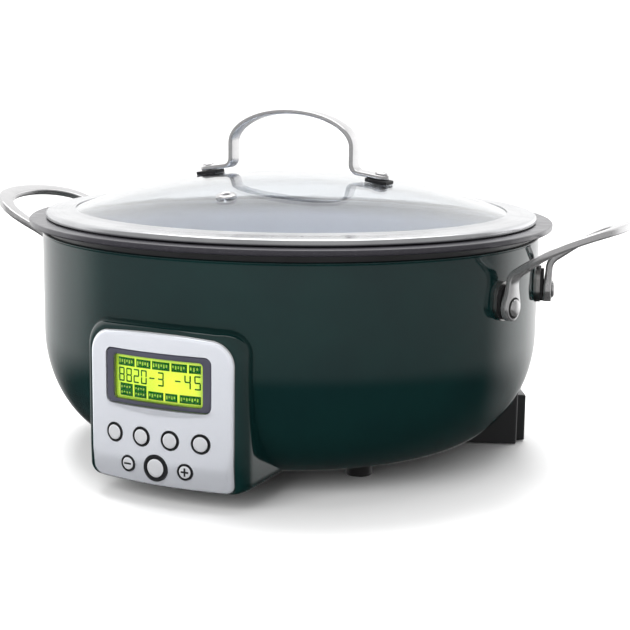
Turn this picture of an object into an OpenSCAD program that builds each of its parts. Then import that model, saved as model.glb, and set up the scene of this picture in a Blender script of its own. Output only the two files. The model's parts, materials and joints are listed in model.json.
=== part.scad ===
// Round electric slow cooker with a lift-out pot, a glass lid and a front control housing.
// Origin: on the pot's axis, on the table. +Z is up, the controls face -Y, the side handles lie on X.

/* [Body] */
// Outer radius of the upright body wall
body_r = 161.8; // [160.6:0.2:162.4]
// Height of the body's top edge
body_top = 143.5; // [142:0.5:144.5]
// Height where the wall starts to curve in
bowl_top = 80; // [76:1:84]
// Radius of the flat underside ring
base_r = 110; // [108:1:112]
// Height of the underside above the table
base_z = 11.5; // [11:0.5:12.5]
// Thickness of the body sheet
shell_t = 1.5; // [1:0.1:1.6]

/* [Pot] */
// Outer radius of the pot's flange
flange_r = 170; // [166:1:174]
// Height of the flange's top face
flange_top = 151.6; // [151:0.1:152]
// Thickness of the flange
flange_t = 3.6; // [3:0.1:3.6]
// Inner radius of the pot's mouth
mouth_r = 146.5; // [146:0.1:147]
// Height of the pot's inside floor
pot_floor = 48; // [47.5:0.1:49]
// Thickness of the pot's wall
pot_t = 3; // [2.2:0.1:3.2]

/* [Lid] */
// Outer radius of the steel ring
ring_r = 159.5; // [157:0.5:162]
// Height of the top of the glass dome
dome_top = 180.4; // [179:0.2:182]
// Thickness of the glass
glass_t = 4; // [3:0.5:4]
// Height of the top of the lid handle
lid_handle_top = 220.9; // [214:0.5:226]
// Width of the lid handle's strip
lid_strip_w = 12; // [10:1:14]

/* [Side handles] */
// Distance from the axis to a handle's tip
handle_tip = 223.4; // [218:0.5:228]
// Height of the bar's middle at the tip
handle_tip_z = 157.7; // [155:0.5:160]
// Half the distance between a handle's two side bars
handle_half_w = 45.5; // [43:0.5:48]
// Width of the band at the tip
band_tip_w = 12; // [10:0.5:13]
// Width of the band along its sides
band_side_w = 9; // [8:0.5:10]
// Thickness of the band
band_t = 4.5; // [4:0.5:5]

/* [Controls] */
// Distance from the pot's axis to the middle of the fascia
fascia_y = 170.8; // [170:0.2:172]
// Radius of the fascia's curve, seen from above
fascia_curve_r = 198; // [180:2:220]
// Half the width of the fascia
fascia_half_w = 46.7; // [45:0.1:48]
// Height of the fascia's top edge
fascia_top = 101.5; // [100:0.5:102]
// Distance between neighbouring menu buttons
button_pitch = 18.95; // [18:0.05:19.5]
// How far a button travels
button_travel = 1.5; // [0.5:0.1:1.5]

/* [Hidden] */
$fn = 64;

// Colours
c_green = [0.03, 0.16, 0.14];
c_silver = [0.84, 0.85, 0.87];
c_steel = [0.78, 0.77, 0.76];
c_pot = [0.23, 0.22, 0.26];
c_black = [0.06, 0.06, 0.07];

// Body of revolution
arc_steps = 14;
bowl_a = body_r - base_r;
bowl_b = bowl_top - base_z;
base_hole_r = base_r - 9;

// Rim, pot and liner
rim_top = flange_top - flange_t - 0.1;
rim_bottom = 136;
rim_in_r = 153.5;
corner_r = 22;
corner_c = [mouth_r - 5.5 - corner_r, pot_floor + corner_r];
liner_gap = 2.5;
liner_t = 1;
liner_top_r = 152;
plate_r = 87.5;
plate_top = pot_floor - pot_t - 0.2;
plate_bottom = plate_top - 7;

// Element, probe and fuse under the heating plate
element_r = 62;
element_tube_r = 4.2;
element_z = plate_bottom - element_tube_r;
probe_r = 11.5;
probe_stem_r = 4;
probe_shoulder = 40;
bracket_z = 24;
bracket_t = 2;
bracket_half = 30;
fuse_x = 45;

// Bottom cover and feet
cover_t = 2.5;
cover_r = base_r - 3;
cover_z = base_z - cover_t - 0.05;
screw_pcd_r = 103;
screw_angles = [10, 80, 100, 170, 250, 290];
foot_pos = [75.2, -54];
foot_r = 8;
shield_z = 16;

// Rear stand, band and inlet
stand_in_r = 120;
stand_r = 153;
stand_angle = 21;
stand_wall = 3;
pad_t = 0.8;
band_r = 159;
band_angle = 24.5;
band_top = 32.3;
inlet_w = 32;
inlet_z = [4.5, 23.5];
inlet_y = [140.5, 161.5];
socket_w = 25;
socket_z = [7.5, 20.5];
socket_depth = 16;

// Control housing
housing_half_w = 52.8;
housing_top = 107.4;
crown = 1.6;
housing_z = 12;
housing_wall = 2.4;
flare_y = [-167, -152];
housing_back_y = -104;
panel_t = 2.5;
top_corner = 14;
bottom_corner = 6;
window_half_w = 41;
window_z = [18, 97];

// Display
frame_half_w = 34.4;
frame_z = [58.5, 90.2];
view_half_w = 29.3;
view_z = [61, 87];
module_y = -166.2;
module_t = 4.6;
board_y = -160.4;
board_t = 1.6;

// Buttons: [x, z, radius of the opening, radius of the cap]
menu_buttons = [for (i = [0:3]) [(i - 1.5) * button_pitch, 40.9, 5.85, 4.75]];
minus_button = [-18.9, 23.7, 4.9, 4];
start_button = [0, 23.7, 7.9, 5.75];
plus_button = [18.9, 23.7, 4.9, 4];
all_buttons = concat(menu_buttons, [minus_button, start_button, plus_button]);
button_proud = 1.15;
button_gap = 0.3;
switch_face_y = board_y - 1;
stem_end_y = switch_face_y - button_travel - 0.1;

// Side handles
leg_x = 164.65;
leg_y = 38.7;
pad_z = 110.2;
pad_r = 8;
pad_angle = atan(leg_y / leg_x);
stack_r = [body_r + 0.05, body_r + 2.4, body_r + 4.1, body_r + 9.2];
rivet_r = 2;
cap_r = 6.2;
loop_x = 188;
tip_slope = 0.207;
sag = 0.0049;
bend_x = 168.5;
bend_tau = atan(tip_slope + 2 * sag * (handle_tip - bend_x));
bend_r = (bend_x - leg_x) / (1 - sin(bend_tau));

// Lid
dome_r = 430;
glass_r = 143.6;
ring_z = [153.4, 156.3];
lid_leg_x = 43.9;
strip_t = 3;
arch_z = 198;
lid_rivet_x = 62.6;
foot_tilt = asin(lid_rivet_x / dome_r);
foot_bend_r = 5.5;
foot_bend_z = 187.4;
rivet_seat = 5.9;
foot_end_x = 68.5;
vent_y = -89;

// Helpers ---------------------------------------------------------------

// Height of a dome of radius dome_r whose top is at dome_top
function dome_z(r) = dome_top - dome_r + sqrt(dome_r * dome_r - r * r);

// Quarter ellipse of the bowl, thinned by t, from the base up to the upright wall
function bowl_arc(t) = [for (i = [0:arc_steps])
    let (a = 90 - 90 * i / arc_steps)
    [base_r + (bowl_a - t) * cos(a), bowl_top - (bowl_b - t) * sin(a)]];

// Arc of radius r about c, from angle a0 to a1
function arc(c, r, a0, a1, n = 8) = [for (i = [0:n])
    let (a = a0 + (a1 - a0) * i / n) c + r * [cos(a), sin(a)]];

// y of the fascia's outer face at x
function face_y(x) = -fascia_y + fascia_curve_r - sqrt(fascia_curve_r * fascia_curve_r - x * x);

// The path of points [x, z, tangent angle] pushed sideways by d
function beside(path, d) = [for (p = path) [p[0] - d * sin(p[2]), p[1] + d * cos(p[2])]];

function reversed(list) = [for (i = [len(list) - 1:-1:0]) list[i]];

module ring_solid(r0, r1, z0, z1) {
    rotate_extrude($fn = 128) polygon([[r0, z0], [r1, z0], [r1, z1], [r0, z1]]);
}

// Part of a ring between two angles
module sector(r0, r1, a0, a1, z0, z1) {
    rotate([0, 0, a0]) rotate_extrude(angle = a1 - a0, $fn = 128)
        polygon([[r0, z0], [r1, z0], [r1, z1], [r0, z1]]);
}

// The same with its two outer upright corners rounded to radius c
module round_sector(r0, r1, a0, a1, z0, z1, c) {
    da = c / r1 * 180 / PI;
    sector(r0, r1 - c, a0, a1, z0, z1);
    sector(r0, r1, a0 + da, a1 - da, z0, z1);
    for (a = [a0 + da, a1 - da]) rotate([0, 0, a]) translate([r1 - c, 0, z0]) cylinder(r = c, h = z1 - z0);
}

// Solid of the body's outside, thinned by t and topped at z_top
module body_solid(t, z_top) {
    rotate_extrude($fn = 128)
        polygon(concat([[0, base_z + t]], bowl_arc(t), [[body_r - t, z_top], [0, z_top]]));
}

// Cylinder pointing outward at an angle, between two radii
module radial_rod(a, z, r, r0, r1, fn = 48) {
    rotate([0, 0, a]) translate([r0, 0, z]) rotate([0, 90, 0]) cylinder(r = r, h = r1 - r0, $fn = fn);
}

// Round-ended pad that follows the body wall between two radii
module wall_pad(a, z0, z1, r, r0, r1) {
    intersection() {
        ring_solid(r0, r1, z0 - 2 * r, z1 + 2 * r);
        union() {
            for (z = [z0, z1]) radial_rod(a, z, r, r0 - 8, r1 + 8);
            rotate([0, 0, a]) translate([r0 - 8, -r, z0]) cube([r1 - r0 + 16, 2 * r, z1 - z0]);
        }
    }
}

// The four handle fixings stand at these angles
module at_fixings() {
    for (side = [0, 180], s = [-1, 1]) rotate([0, 0, side]) children_at(s * pad_angle) children();
}
module children_at(a) { rotate([0, 0, a]) children(); }

// Rounded rectangle in XZ, x from -w to w, with a top edge that bows up by crown
module panel_2d(w, z0, z1, rt, rb, crown) {
    top = [for (i = [-5:5]) [-i / 6 * (w - rt), z1 - crown * (i / 6) * (i / 6)]];
    polygon(concat(
        arc([w - rt, z1 - crown - rt], rt, 0, 90), crown > 0 ? top : [],
        arc([-w + rt, z1 - crown - rt], rt, 90, 180),
        arc([-w + rb, z0 + rb], rb, 180, 270), arc([w - rb, z0 + rb], rb, 270, 360)));
}

// The same, given a thickness from y0 to y1
module panel(w, z0, z1, rt, rb, y0, y1, crown = 0) {
    translate([0, y1, 0]) rotate([90, 0, 0]) linear_extrude(y1 - y0) panel_2d(w, z0, z1, rt, rb, crown);
}

// Curved sheet that follows the fascia, between two depths behind its outer face
module fascia_sheet(d0, d1) {
    translate([0, fascia_curve_r - fascia_y, 0]) difference() {
        cylinder(r = fascia_curve_r - d0, h = 130, $fn = 200);
        translate([0, 0, -1]) cylinder(r = fascia_curve_r - d1, h = 132, $fn = 200);
    }
}

// Cylinder along Y
module y_rod(x, z, r, y0, y1, fn = 48) {
    translate([x, y1, z]) rotate([90, 0, 0]) cylinder(r = r, h = y1 - y0, $fn = fn);
}

// Round tube along a list of points
module tube(points, r, sides = 8) {
    n = len(points);
    dirs = [for (i = [0:n - 1]) let (d = points[min(i + 1, n - 1)] - points[max(i - 1, 0)]) d / norm(d)];
    rings = [for (i = [0:n - 1])
        let (d = dirs[i], up = abs(d[2]) > 0.9 ? [1, 0, 0] : [0, 0, 1],
             u = cross(d, up) / norm(cross(d, up)), v = cross(d, u))
        for (k = [0:sides - 1]) points[i] + r * (cos(360 * k / sides) * u + sin(360 * k / sides) * v)];
    sides_faces = [for (i = [0:n - 2], k = [0:sides - 1]) let (k2 = (k + 1) % sides)
        [i * sides + k, i * sides + k2, (i + 1) * sides + k2, (i + 1) * sides + k]];
    caps = [reversed([for (k = [0:sides - 1]) k]), [for (k = [0:sides - 1]) (n - 1) * sides + k]];
    polyhedron(rings, concat(sides_faces, caps));
}

// Body ------------------------------------------------------------------

module outer_shell() color(c_green) difference() {
    body_solid(0, body_top);
    body_solid(shell_t, body_top + 5);
    translate([0, 0, base_z - 1]) cylinder(r = base_hole_r, h = 5, $fn = 128);
    panel(window_half_w, window_z[0], window_z[1], 5, 5, -170, -100);
    at_fixings() radial_rod(0, pad_z, rivet_r + 0.1, body_r - 10, body_r + 5);
    translate([0, 133, 0]) cylinder(r = 3.2, h = 40);
    for (a = screw_angles) rotate([0, 0, a]) translate([screw_pcd_r, 0, 0]) cylinder(r = 1.6, h = 20);
}

module rim_ring() color(c_black) difference() {
    ring_solid(rim_in_r, body_r - shell_t - 0.3, rim_bottom, rim_top);
    ring_solid(rim_in_r - 1, rim_in_r + 3.5, rim_bottom + 3, rim_bottom + 6);
}

module heat_liner() color(c_steel) {
    r_in = corner_r + pot_t + liner_gap;
    r_out = r_in + liner_t;
    floor_in = corner_c[1] - r_in;
    lip_r = body_r - shell_t - 0.3;
    rotate_extrude($fn = 128) polygon(concat(
        [[plate_r + 1.5, floor_in - liner_t]], arc(corner_c, r_out, 270, 360),
        [[liner_top_r + liner_t, rim_bottom - 1.1], [lip_r, rim_bottom - 1.1],
         [lip_r, rim_bottom - 0.1], [liner_top_r, rim_bottom - 0.1]],
        reversed(arc(corner_c, r_in, 270, 360)), [[plate_r + 1.5, floor_in]]));
}

module bottom_cover() color(c_black) difference() {
    union() {
        translate([0, 0, cover_z]) cylinder(r = cover_r, h = cover_t, $fn = 128);
        for (s = [-1, 1]) translate([s * foot_pos[0], foot_pos[1], cover_z - 2]) cylinder(r = foot_r + 1.5, h = 3);
    }
    for (a = screw_angles) rotate([0, 0, a]) translate([screw_pcd_r, 0, 0]) {
        cylinder(r = 1.7, h = 20);
        cylinder(r = 3.3, h = cover_z + 1.3);
    }
    for (row = [-2:2], s = [-1, 1])
        translate([s * 45 - 20, row * 14 - 2, 0]) cube([40, 4, 20]);
    for (s = [-1, 1]) translate([s * foot_pos[0], foot_pos[1], 0]) cylinder(r = 3.1, h = 20);
}

module cover_screws() color(c_steel)
    for (a = screw_angles) rotate([0, 0, a]) translate([screw_pcd_r, 0, cover_z + 0.1]) {
        difference() {
            cylinder(r = 3.1, h = 1.1);
            translate([-2, -0.4, -1]) cube([4, 0.8, 1.6]);
            translate([-0.4, -2, -1]) cube([0.8, 4, 1.6]);
        }
        cylinder(r = 1.5, h = 8);
    }

module front_feet() color(c_black)
    for (s = [-1, 1]) translate([s * foot_pos[0], foot_pos[1], 0]) {
        difference() {
            cylinder(r = foot_r, h = cover_z - 2.05);
            translate([0, 0, -1]) cylinder(r = foot_r - 3, h = 2);
        }
        cylinder(r = 3, h = cover_z + cover_t + 1);
    }

module rear_stand() color(c_black) difference() {
    union() {
        round_sector(stand_in_r, stand_r, stand_angle, 180 - stand_angle, pad_t, 60, 2.5);
        intersection() {
            sector(stand_in_r - 2, stand_r + 1.5, stand_angle - 0.7, 180.7 - stand_angle, pad_t, 60);
            body_solid(-2.4, 60);
        }
    }
    body_solid(-0.05, 80);
    difference() {
        sector(stand_in_r + stand_wall, stand_r - stand_wall, stand_angle + 1.4, 180 - stand_angle - 1.4, 0, 60);
        body_solid(-stand_wall, 80);
    }
    translate([-inlet_w / 2 - 0.1, stand_in_r + 6, inlet_z[0] - 0.1])
        cube([inlet_w + 0.2, 40, inlet_z[1] - inlet_z[0] + 0.2]);
    translate([0, 133, 0]) cylinder(r = 3.2, h = 40);
}

module rear_pads() color([0.1, 0.1, 0.1])
    for (a = [30, 90, 150]) sector(stand_in_r, stand_r, a - 7, a + 7, 0, pad_t);

module rear_band() color(c_black) difference() {
    sector(stand_r + 0.05, band_r, band_angle, 180 - band_angle, pad_t, band_top);
    translate([-inlet_w / 2 - 0.1, stand_r - 4, inlet_z[0] - 0.1])
        cube([inlet_w + 0.2, 20, inlet_z[1] - inlet_z[0] + 0.2]);
}

module power_inlet() color(c_black) difference() {
    union() {
        translate([-inlet_w / 2, inlet_y[0], inlet_z[0]])
            cube([inlet_w, inlet_y[1] - inlet_y[0], inlet_z[1] - inlet_z[0]]);
        translate([-inlet_w / 2 - 3, band_r + 0.7, inlet_z[0] - 2])
            cube([inlet_w + 6, inlet_y[1] - band_r - 0.7, inlet_z[1] - inlet_z[0] + 4]);
    }
    translate([-socket_w / 2, inlet_y[1] - socket_depth, socket_z[0]])
        cube([socket_w, 40, socket_z[1] - socket_z[0]]);
    for (x = [-7, 0, 7]) translate([x - 1.05, inlet_y[0] - 1, 9.4]) cube([2.1, 10, 4.2]);
}

module inlet_pins() color(c_steel)
    for (x = [-7, 0, 7]) translate([x - 1, inlet_y[0] - 4, 9.5])
        cube([2, socket_depth + 3, 4]);

// Heating ---------------------------------------------------------------

module heating_plate() color(c_silver) difference() {
    union() {
        translate([0, 0, plate_bottom]) cylinder(r = plate_r, h = plate_top - plate_bottom, $fn = 128);
        for (s = [-1, 1]) translate([s * bracket_half, 0, bracket_z + bracket_t + 0.05])
            cylinder(r = 4, h = plate_bottom - bracket_z - bracket_t);
    }
    translate([0, 0, plate_bottom - 1]) cylinder(r = probe_r + 0.4, h = 20);
}

module heating_element() color([0.35, 0.34, 0.33]) {
    rotate([0, 0, 15]) translate([0, 0, element_z]) rotate_extrude(angle = 330, $fn = 96)
        translate([element_r, 0]) circle(r = element_tube_r, $fn = 32);
    for (a = [15, -15]) rotate([0, 0, a]) translate([element_r, 0, shield_z + 3])
        cylinder(r = 2.2, h = element_z - shield_z - 3);
}

module heat_shield() color(c_steel) difference() {
    union() {
        translate([0, 0, shield_z]) cylinder(r = 92, h = 0.8, $fn = 96);
        ring_solid(91.2, 92, shield_z, shield_z + 6);
        for (a = [50, 170, 290]) rotate([0, 0, a]) translate([80, 0, cover_z + cover_t + 0.05])
            cylinder(r = 3.5, h = plate_bottom - cover_z - cover_t - 0.1);
    }
    translate([0, 0, shield_z - 1]) cylinder(r = 9, h = 4);
}

module probe_bracket() color(c_steel) difference() {
    union() {
        translate([-bracket_half - 6, -7, bracket_z]) cube([2 * bracket_half + 12, 14, bracket_t]);
        for (s = [-1, 1]) translate([s * bracket_half, 0, bracket_z - 2]) cylinder(r = 3.5, h = 2);
    }
    translate([0, 0, bracket_z - 3]) cylinder(r = probe_stem_r + button_gap, h = 8);
}

module probe_spring() color(c_steel) {
    turns = 4;
    steps = 14;
    z0 = bracket_z + bracket_t + 0.8;
    z1 = probe_shoulder - 0.8;
    tube([for (i = [0:turns * steps]) let (a = 360 * i / steps, t = i / (turns * steps))
        [6 * cos(a), 6 * sin(a), z0 + (z1 - z0) * t]], 0.6, 6);
}

module probe() color(c_silver) {
    translate([0, 0, probe_shoulder]) cylinder(r = probe_r, h = plate_top - probe_shoulder);
    translate([0, 0, bracket_z - 3.5]) cylinder(r = probe_stem_r, h = probe_shoulder - bracket_z + 3.5);
}

module thermal_fuse() color([0.75, 0.72, 0.6])
    translate([fuse_x, 0, plate_bottom - 2.6]) rotate([90, 0, 0]) {
        translate([0, 0, -7]) cylinder(r = 2.5, h = 14);
        translate([0, 0, -11]) cylinder(r = 0.7, h = 22);
    }

module power_board() color([0.15, 0.4, 0.2]) intersection() {
    union() {
        translate([-124, -30, 22]) cube([28, 60, board_t]);
        for (x = [-120.5, -105.5], s = [-1, 1]) translate([x, s * 27, 10]) cylinder(r = 2.5, h = 12.5);
    }
    body_solid(shell_t + 0.05, 60);
}

module power_parts() color([0.2, 0.25, 0.6]) {
    top = 22 + board_t + 0.05;
    translate([-121, -26, top]) cube([12, 18, 9]);
    translate([-114, 6, top]) cylinder(r = 5, h = 11);
    translate([-102, -14, top]) cylinder(r = 3.5, h = 9);
    translate([-108, 16, top]) cube([9, 12, 8]);
}

// Routes of the three leads: mains, heater and panel
mains_route = [[0, 135.2, 11.5], [0, 134, 12.3], [0, 133, 15], [0, 133, 20], [0, 130, 26], [-8, 122, 30],
    [-30, 114, 31], [-56, 103, 31], [-80, 86, 31], [-96, 62, 30], [-102, 40, 28], [-103, 30, 26]];
heater_route = [[-97, -10, 26], [-94, -22, 30], [-86, -50, 30], [-60, -80, 30], [-20, -97, 29],
    [20, -95, 28.5], [48, -76, 28], [60, -52, 27], [62, -32, 25], [61, -22, 22]];
panel_route = [[-110, -28, 26], [-112, -36, 28], [-104, -62, 31], [-84, -90, 32], [-58, -118, 33],
    [-38, -140, 34], [-30, -152, 36], [-28, -157, 38]];

module wiring() color([0.75, 0.1, 0.08])
    for (route = [mains_route, heater_route, panel_route]) tube(route, 1.8);

// Controls --------------------------------------------------------------

// Outside of the housing drawn in by t: a flare behind the fascia, then a straight part
module housing_form(t) {
    hull() {
        panel(fascia_half_w - t, housing_z + t, fascia_top - t, top_corner - t, bottom_corner - t,
            flare_y[0] - 4, flare_y[0], crown);
        panel(housing_half_w - t, housing_z + t, housing_top - t, top_corner, bottom_corner,
            flare_y[1] - 1, flare_y[1], crown);
    }
    panel(housing_half_w - t, housing_z + t, housing_top - t, top_corner, bottom_corner,
        flare_y[1] - 0.01, housing_back_y, crown);
}

module control_housing() color(c_green) difference() {
    intersection() {
        housing_form(0);
        translate([0, fascia_curve_r - fascia_y, 0])
            cylinder(r = fascia_curve_r - panel_t - 0.05, h = 130, $fn = 200);
    }
    body_solid(-0.05, 160);
    difference() {
        housing_form(housing_wall);
        translate([-80, housing_back_y - housing_wall, 0]) cube([160, 20, 60]);
    }
}

module fascia() color(c_silver) difference() {
    intersection() {
        panel(fascia_half_w, housing_z, fascia_top, top_corner, bottom_corner, -185, -150, crown);
        fascia_sheet(0, panel_t);
    }
    panel(frame_half_w + 0.1, frame_z[0], frame_z[1], 4, 4, -190, -140);
    for (b = all_buttons) y_rod(b[0], b[1], b[2], -190, -140);
}

module display_frame() color([0.29, 0.28, 0.33]) difference() {
    intersection() {
        panel(frame_half_w, frame_z[0] + 0.1, frame_z[1] - 0.1, 3.9, 3.9, -185, -150);
        fascia_sheet(0.5, panel_t + 1);
    }
    panel(view_half_w, view_z[0], view_z[1], 2.5, 2.5, -190, -140);
}

module display_window() color([0.9, 0.95, 0.95, 0.3]) intersection() {
    panel(view_half_w - 0.1, view_z[0] + 0.1, view_z[1] - 0.1, 2.4, 2.4, -185, -150);
    fascia_sheet(1.6, 2.6);
}

module display_module() color([0.72, 0.85, 0.1]) difference() {
    translate([-31, module_y, view_z[0] - 2]) cube([62, module_t, view_z[1] - view_z[0] + 4]);
    fascia_sheet(-20, panel_t + 1.05);
}

module control_board() color([0.1, 0.35, 0.2]) {
    translate([-40, board_y, 19]) cube([80, board_t, 76]);
    difference() {
        for (x = [-36, 36], z = [23, 52]) y_rod(x, z, 2.5, -170, board_y + 0.01);
        fascia_sheet(-20, panel_t + 0.05);
    }
}

module switches() color(c_black)
    for (b = all_buttons) translate([b[0] - 3, switch_face_y, b[1] - 3]) cube([6, 0.95, 6]);

module button_collars() color(c_black)
    for (b = all_buttons) difference() {
        intersection() {
            y_rod(b[0], b[1], b[2] - 0.05, -185, -165.4);
            fascia_sheet(-0.3, 12);
        }
        y_rod(b[0], b[1], b[3] + button_gap, -190, -160);
    }

module button(b) color(c_silver) {
    front = face_y(b[0]) - button_proud;
    y_rod(b[0], b[1], b[3], front, front + 5);
    y_rod(b[0], b[1], 2, front + 4.9, stem_end_y);
}

// Side handles ----------------------------------------------------------

// Middle line of the bar in XZ: the upright leg, a bend, then a curve that flattens to the tip
function bar_z(x) = handle_tip_z - tip_slope * (handle_tip - x) - sag * pow(handle_tip - x, 2);
bar_path = concat(
    [[leg_x, pad_z - 4, 90]],
    [for (i = [0:6]) let (tau = 90 - (90 - bend_tau) * i / 6)
        [leg_x + bend_r * (1 - sin(tau)), bar_z(bend_x) - bend_r * (cos(bend_tau) - cos(tau)), tau]],
    [for (i = [1:12]) let (x = bend_x + (handle_tip - bend_x) * i / 12)
        [x, bar_z(x), atan(tip_slope + 2 * sag * (handle_tip - x))]]);

// Outline of the loop from above, at half the band's width times k from its middle line
function band_w(x) = band_side_w + (band_tip_w - band_side_w) * pow(max(0, x - leg_x) / (handle_tip - leg_x), 2);
loop_start = [158, 158 * tan(pad_angle) - 1];
function loop_side(k) = [for (i = [0:8]) let (t = i / 8, ease = 3 * t * t - 2 * t * t * t,
        lead = (t * t * t - 2 * t * t + t) * tan(pad_angle),
        x = loop_start[0] + (loop_x - loop_start[0]) * t)
    [x, loop_start[1] + (loop_x - loop_start[0]) * lead + (handle_half_w - loop_start[1]) * ease
        + k * band_w(x) / 2]];
function loop_end(k) = [for (i = [1:20]) let (
        a = 90 - 90 * i / 20, ax = handle_tip - band_tip_w / 2 - loop_x,
        n = [handle_half_w * cos(a), ax * sin(a)], x = loop_x + ax * cos(a))
    [x, handle_half_w * sin(a)] + k * band_w(x) / 2 * n / norm(n)];
function loop_half(k) = concat(loop_side(k), loop_end(k));
function loop_line(k) = concat(loop_half(k),
    [for (p = reversed(loop_half(k))) if (p[1] > 0.01) [p[0], -p[1]]]);

module side_handle() color(c_steel) difference() {
    union() {
        intersection() {
            rotate([90, 0, 0]) linear_extrude(140, center = true)
                polygon(concat(beside(bar_path, band_t / 2), reversed(beside(bar_path, -band_t / 2))));
            translate([0, 0, 90]) linear_extrude(90)
                polygon(concat(loop_line(1), reversed(loop_line(-1))));
        }
        for (s = [-1, 1]) wall_pad(s * pad_angle, pad_z, pad_z + 5, pad_r, stack_r[2] + 0.05, stack_r[3]);
    }
    for (s = [-1, 1]) {
        radial_rod(s * pad_angle, pad_z, rivet_r + 0.1, 140, 200);
        radial_rod(s * pad_angle, pad_z, cap_r + 0.3, stack_r[3], 200);
    }
    cylinder(r = stack_r[2] + 0.05, h = 130, $fn = 128);
}

module side_handle_right() side_handle();
module side_handle_left() mirror([1, 0, 0]) side_handle();

module handle_plates() color(c_steel) at_fixings() difference() {
    wall_pad(0, pad_z, pad_z + 7, pad_r + 0.3, stack_r[0], stack_r[1]);
    radial_rod(0, pad_z, rivet_r + 0.1, 140, 200);
}

module handle_gaskets() color(c_black) at_fixings() difference() {
    wall_pad(0, pad_z, pad_z + 6, pad_r - 0.5, stack_r[1] + 0.05, stack_r[2]);
    radial_rod(0, pad_z, rivet_r + 0.1, 140, 200);
}

module handle_rivets() color(c_steel) at_fixings() {
    radial_rod(0, pad_z, rivet_r, body_r - 5.5, stack_r[3] + 0.3);
    translate([stack_r[3] + 0.05, 0, pad_z]) rotate([0, 90, 0]) rotate_extrude()
        polygon([[0, 0], [cap_r, 0], [cap_r, 0.5], [cap_r - 0.8, 1.1], [3.5, 1.5], [0, 1.7]]);
}

module handle_nuts() color(c_steel) at_fixings() difference() {
    radial_rod(0, pad_z, 4.6, body_r - 4.6, body_r - 2, 6);
    radial_rod(0, pad_z, rivet_r + 0.05, 140, 170);
}

// Pot -------------------------------------------------------------------

module pot() color(c_pot) {
    wall_in = corner_c[0] + corner_r;
    flange_z = flange_top - flange_t;
    rotate_extrude($fn = 128) polygon(concat(
        [[0, pot_floor - pot_t]], arc(corner_c, corner_r + pot_t, 270, 360),
        [[mouth_r + pot_t, flange_z], [flange_r - 0.6, flange_z], [flange_r, flange_z + 0.6],
         [flange_r, flange_top - 0.6], [flange_r - 0.6, flange_top], [mouth_r + 1, flange_top],
         [mouth_r, flange_top - 1], [wall_in, corner_c[1]]],
        reversed(arc(corner_c, corner_r, 270, 360)), [[0, pot_floor]]));
}

// Lid -------------------------------------------------------------------

// The two lid fixings, seen from the dome's surface with +Z along its outward normal
module at_lid_fixings()
    for (s = [0, 1]) mirror([s, 0, 0]) translate([lid_rivet_x, 0, dome_z(lid_rivet_x)])
        rotate([0, foot_tilt, 0]) children();

module at_vent()
    translate([0, vent_y, dome_z(-vent_y)]) rotate([asin(-vent_y / dome_r), 0, 0]) children();

module dome(r, t, drop) {
    rotate_extrude($fn = 128) polygon(concat(
        [for (i = [0:16]) let (x = r * i / 16) [x, dome_z(x) - drop]],
        [for (i = [16:-1:0]) let (x = r * i / 16) [x, dome_z(x) - drop - t]]));
}

module lid_glass() color([0.75, 0.85, 0.88, 0.35]) difference() {
    dome(glass_r, glass_t, 0);
    at_lid_fixings() translate([0, 0, -10]) cylinder(r = 2.1, h = 20);
    at_vent() translate([0, 0, -10]) cylinder(r = 4.2, h = 20);
}

module lid_ring() color(c_steel) {
    lip_r = glass_r - 3;
    skirt_r = mouth_r - 0.5;
    rotate_extrude($fn = 128) polygon([
        [lip_r, dome_z(lip_r) + 0.05], [lip_r, dome_z(lip_r) + 0.7],
        [glass_r + 1, ring_z[1] + 0.2], [ring_r - 1.2, ring_z[1]], [ring_r, ring_z[1] - 0.9],
        [ring_r, ring_z[0] + 0.8], [ring_r - 1, ring_z[0]], [ring_r - 2.4, ring_z[0] + 0.6],
        [ring_r - 3, ring_z[1] - 1.4], [glass_r + 6, ring_z[1] - 1.4],
        [glass_r + 5.6, flange_top + 0.1], [skirt_r, flange_top + 0.1],
        [skirt_r, flange_top - 3.6], [skirt_r - 1.2, flange_top - 3.6],
        [skirt_r - 1.2, flange_top - 0.8], [lip_r, flange_top - 0.8], [lip_r, flange_top],
        [glass_r + 0.15, flange_top], [glass_r + 0.15, dome_z(glass_r) + 0.05]]);
}

module vent_eyelet() color(c_steel) at_vent() rotate_extrude()
    polygon([[2.2, -glass_t - 0.9], [5.5, -glass_t - 0.9], [5.5, -glass_t - 0.2], [3.9, -glass_t - 0.2],
        [3.9, 0.2], [6.2, 0.2], [6.4, 0.8], [5.6, 1.6], [4, 2], [2.8, 1.7], [2.2, 1]]);

// Middle line of one half of the strip: arch, leg, bend and foot
arch_b = lid_handle_top - strip_t / 2 - arch_z;
foot_x0 = lid_leg_x + foot_bend_r * (1 - sin(foot_tilt));
lid_half_path = concat(
    [for (i = [0:10]) let (u = 9 * i)
        [lid_leg_x * sin(u), arch_z + arch_b * cos(u), -atan2(arch_b * sin(u), lid_leg_x * cos(u))]],
    [for (i = [0:5]) let (a = 180 + (90 - foot_tilt) * i / 5)
        [lid_leg_x + foot_bend_r * (1 + cos(a)), foot_bend_z + foot_bend_r * sin(a), a - 270]],
    [[foot_end_x, foot_bend_z - foot_bend_r * cos(foot_tilt) - (foot_end_x - foot_x0) * tan(foot_tilt),
        -foot_tilt]]);

module lid_handle() color(c_steel) difference() {
    for (s = [0, 1]) mirror([s, 0, 0]) rotate([90, 0, 0]) linear_extrude(lid_strip_w, center = true)
        polygon(concat([[-0.01, lid_handle_top]], beside(lid_half_path, strip_t / 2),
            reversed(beside(lid_half_path, -strip_t / 2)), [[-0.01, lid_handle_top - strip_t]]));
    at_lid_fixings() translate([0, 0, -10]) cylinder(r = 2.1, h = 30);
}

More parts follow.
